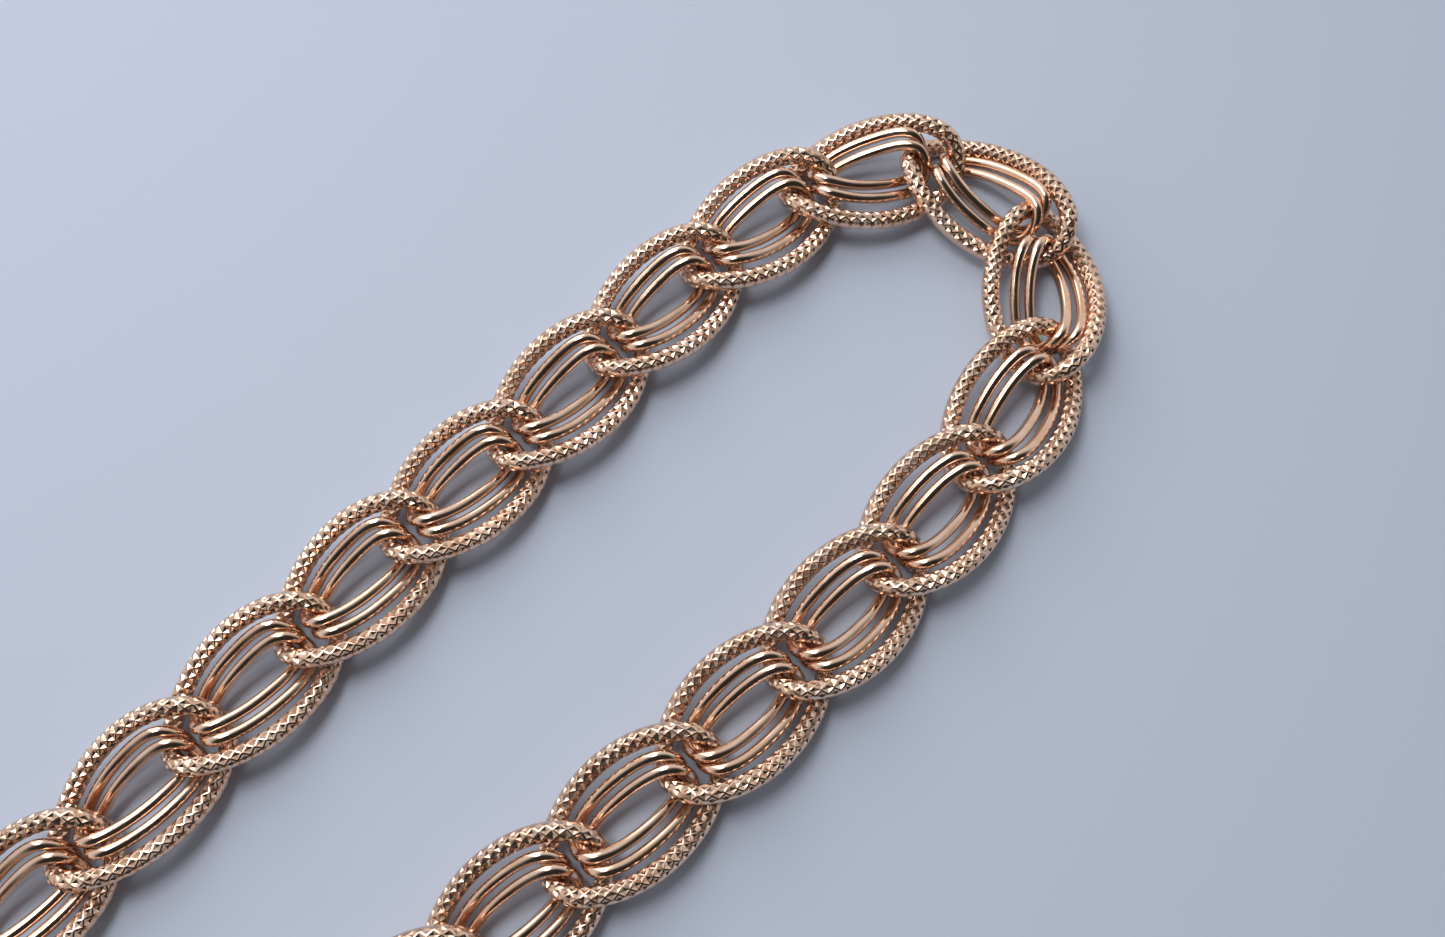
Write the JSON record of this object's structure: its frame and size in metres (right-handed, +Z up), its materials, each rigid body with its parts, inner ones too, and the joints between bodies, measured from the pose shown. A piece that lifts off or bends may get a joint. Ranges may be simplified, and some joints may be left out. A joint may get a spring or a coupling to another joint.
{
  "type": "pocket watch chain",
  "caption": "Curb-style watch chain laid in a U: knurled oval rings linked through pairs of plain rings, with a button bar at one end and a swivel hook at the other.",
  "frame": {"origin": "middle of the box round the chain, on the surface it lies on", "axes": "+X runs along the two strands towards the bend, +Y across them towards the strand with the bar, +Z up"},
  "size_m": [0.1458, 0.0472, 0.0043],
  "materials": {
    "figured": "rose gold wire cut all over with small diamonds, worn bright at the ends",
    "plain": "polished rose gold",
    "fittings": "polished rose gold",
    "spring": "blued spring leaf"
  },
  "bodies": {
    "link_01": {"figured_link_01": "figured"},
    "link_02": {"figured_link_02": "figured", "plain_pair_02": "plain"},
    "link_03": {"figured_link_03": "figured", "plain_pair_03": "plain"},
    "link_04": {"figured_link_04": "figured", "plain_pair_04": "plain"},
    "link_05": {"figured_link_05": "figured", "plain_pair_05": "plain"},
    "link_06": {"figured_link_06": "figured", "plain_pair_06": "plain"},
    "link_07": {"figured_link_07": "figured", "plain_pair_07": "plain"},
    "link_08": {"figured_link_08": "figured", "plain_pair_08": "plain"},
    "link_09": {"figured_link_09": "figured", "plain_pair_09": "plain"},
    "link_10": {"figured_link_10": "figured", "plain_pair_10": "plain"},
    "link_11": {"figured_link_11": "figured", "plain_pair_11": "plain"},
    "link_12": {"figured_link_12": "figured", "plain_pair_12": "plain"},
    "link_13": {"figured_link_13": "figured", "plain_pair_13": "plain"},
    "link_14": {"figured_link_14": "figured", "plain_pair_14": "plain"},
    "link_15": {"figured_link_15": "figured", "plain_pair_15": "plain"},
    "link_16": {"figured_link_16": "figured", "plain_pair_16": "plain"},
    "link_17": {"figured_link_17": "figured", "plain_pair_17": "plain"},
    "link_18": {"figured_link_18": "figured", "plain_pair_18": "plain"},
    "link_19": {"figured_link_19": "figured", "plain_pair_19": "plain"},
    "link_20": {"figured_link_20": "figured", "plain_pair_20": "plain"},
    "link_21": {"figured_link_21": "figured", "plain_pair_21": "plain"},
    "link_22": {"figured_link_22": "figured", "plain_pair_22": "plain"},
    "link_23": {"figured_link_23": "figured", "plain_pair_23": "plain"},
    "link_24": {"figured_link_24": "figured"},
    "bar_ring": {"bar_ring": "fittings"},
    "bar": {"t_bar": "fittings"},
    "swivel_ring": {"swivel_ring": "fittings"},
    "swivel_eye": {"swivel_eye": "fittings"},
    "hook": {"swivel_hook": "fittings", "gate_pin": "fittings", "gate_spring": "spring"},
    "gate": {"swivel_gate": "fittings"}
  },
  "joints": [
    {"name": "fold_01_02", "type": "hinge", "parent": "link_02", "child": "link_01", "pos_m": [-0.05231, 0.00721, 0.00215], "axis": [-0.0349, 0.9994, 0], "range_deg": [-13, 13]},
    {"name": "fold_02_03", "type": "hinge", "parent": "link_03", "child": "link_02", "pos_m": [-0.04131, 0.00759, 0.00215], "axis": [-0.0349, 0.9994, 0], "range_deg": [-13, 13]},
    {"name": "fold_03_04", "type": "hinge", "parent": "link_04", "child": "link_03", "pos_m": [-0.03032, 0.00798, 0.00215], "axis": [-0.0349, 0.9994, 0], "range_deg": [-13, 13]},
    {"name": "fold_04_05", "type": "hinge", "parent": "link_05", "child": "link_04", "pos_m": [-0.01933, 0.00836, 0.00215], "axis": [-0.0436, 0.999, 0], "range_deg": [-13, 13]},
    {"name": "fold_05_06", "type": "hinge", "parent": "link_06", "child": "link_05", "pos_m": [-0.00834, 0.00894, 0.00215], "axis": [-0.0436, 0.999, 0], "range_deg": [-13, 13]},
    {"name": "fold_06_07", "type": "hinge", "parent": "link_07", "child": "link_06", "pos_m": [0.00265, 0.00932, 0.00215], "axis": [-0.0436, 0.999, 0], "range_deg": [-13, 13]},
    {"name": "fold_07_08", "type": "hinge", "parent": "link_08", "child": "link_07", "pos_m": [0.01364, 0.00989, 0.00215], "axis": [-0.0174, 0.9998, 0], "range_deg": [-12, 12]},
    {"name": "fold_08_09", "type": "hinge", "parent": "link_09", "child": "link_08", "pos_m": [0.02463, 0.0097, 0.00215], "axis": [-0.0087, 1, 0], "range_deg": [-13, 13]},
    {"name": "fold_09_10", "type": "hinge", "parent": "link_10", "child": "link_09", "pos_m": [0.03563, 0.01009, 0.00215], "axis": [-0.0262, 0.9997, 0], "range_deg": [-13, 13]},
    {"name": "fold_10_11", "type": "hinge", "parent": "link_11", "child": "link_10", "pos_m": [0.04663, 0.01028, 0.00215], "axis": [0.0349, 0.9994, 0], "range_deg": [-12, 12]},
    {"name": "open_11_12", "type": "hinge", "parent": "link_12", "child": "link_11", "pos_m": [0.05758, 0.00932, 0.00215], "axis": [0, 0, -1], "range_deg": [0, 22]},
    {"name": "open_12_13", "type": "hinge", "parent": "link_13", "child": "link_12", "pos_m": [0.06701, 0.00365, 0.00215], "axis": [0, 0, -1], "range_deg": [0, 26]},
    {"name": "open_13_14", "type": "hinge", "parent": "link_13", "child": "link_14", "pos_m": [0.06873, -0.00721, 0.00215], "axis": [0, 0, 1], "range_deg": [0, 28]},
    {"name": "open_14_15", "type": "hinge", "parent": "link_14", "child": "link_15", "pos_m": [0.06096, -0.01499, 0.00215], "axis": [0, 0, 1], "range_deg": [0, 26]},
    {"name": "fold_15_16", "type": "hinge", "parent": "link_15", "child": "link_16", "pos_m": [0.05028, -0.01765, 0.00215], "axis": [-0.1564, 0.9877, 0], "range_deg": [-12, 12]},
    {"name": "fold_16_17", "type": "hinge", "parent": "link_16", "child": "link_17", "pos_m": [0.03931, -0.01842, 0.00215], "axis": [-0.0436, 0.999, 0], "range_deg": [-13, 13]},
    {"name": "fold_17_18", "type": "hinge", "parent": "link_17", "child": "link_18", "pos_m": [0.02831, -0.01861, 0.00215], "axis": [0, 1, 0], "range_deg": [-13, 13]},
    {"name": "fold_18_19", "type": "hinge", "parent": "link_18", "child": "link_19", "pos_m": [0.01731, -0.01842, 0.00215], "axis": [0.0436, 0.999, 0], "range_deg": [-13, 13]},
    {"name": "fold_19_20", "type": "hinge", "parent": "link_19", "child": "link_20", "pos_m": [0.00634, -0.01765, 0.00215], "axis": [0.0698, 0.9976, 0], "range_deg": [-13, 13]},
    {"name": "fold_20_21", "type": "hinge", "parent": "link_20", "child": "link_21", "pos_m": [-0.00463, -0.01688, 0.00215], "axis": [0.0349, 0.9994, 0], "range_deg": [-13, 13]},
    {"name": "fold_21_22", "type": "hinge", "parent": "link_21", "child": "link_22", "pos_m": [-0.01563, -0.01688, 0.00215], "axis": [0, 1, 0], "range_deg": [-13, 13]},
    {"name": "fold_22_23", "type": "hinge", "parent": "link_22", "child": "link_23", "pos_m": [-0.02663, -0.01688, 0.00215], "axis": [0, 1, 0], "range_deg": [-13, 13]},
    {"name": "fold_23_24", "type": "hinge", "parent": "link_23", "child": "link_24", "pos_m": [-0.03763, -0.01688, 0.00215], "axis": [0, 1, 0], "range_deg": [-13, 13]},
    {"name": "bar_ring_swing", "type": "hinge", "parent": "link_01", "child": "bar_ring", "pos_m": [-0.06541, 0.00675, 0.00215], "axis": [-0.0349, 0.9994, 0], "range_deg": [-35, 35]},
    {"name": "bar_swing", "type": "hinge", "parent": "bar_ring", "child": "bar", "pos_m": [-0.06821, 0.00665, 0.00215], "axis": [-0.0224, 0.6424, 0.766], "range_deg": [-20, 20]},
    {"name": "swivel_ring_swing", "type": "hinge", "parent": "link_24", "child": "swivel_ring", "pos_m": [-0.05075, -0.01688, 0.00215], "axis": [0, 1, 0], "range_deg": [-35, 35]},
    {"name": "swivel_eye_swing", "type": "hinge", "parent": "swivel_ring", "child": "swivel_eye", "pos_m": [-0.05355, -0.01688, 0.00215], "axis": [0, 0.6428, 0.766], "range_deg": [-20, 20]},
    {"name": "swivel_turn", "type": "hinge", "parent": "swivel_eye", "child": "hook", "pos_m": [-0.0589, -0.01688, 0.00215], "axis": [-1, 0, 0], "continuous": true},
    {"name": "gate_press", "type": "hinge", "parent": "hook", "child": "gate", "pos_m": [-0.06104, -0.01904, 0.00215], "axis": [0, 0, -1], "range_deg": [0, 30], "stiffness_Nm_per_rad": 0.01}
  ]
}
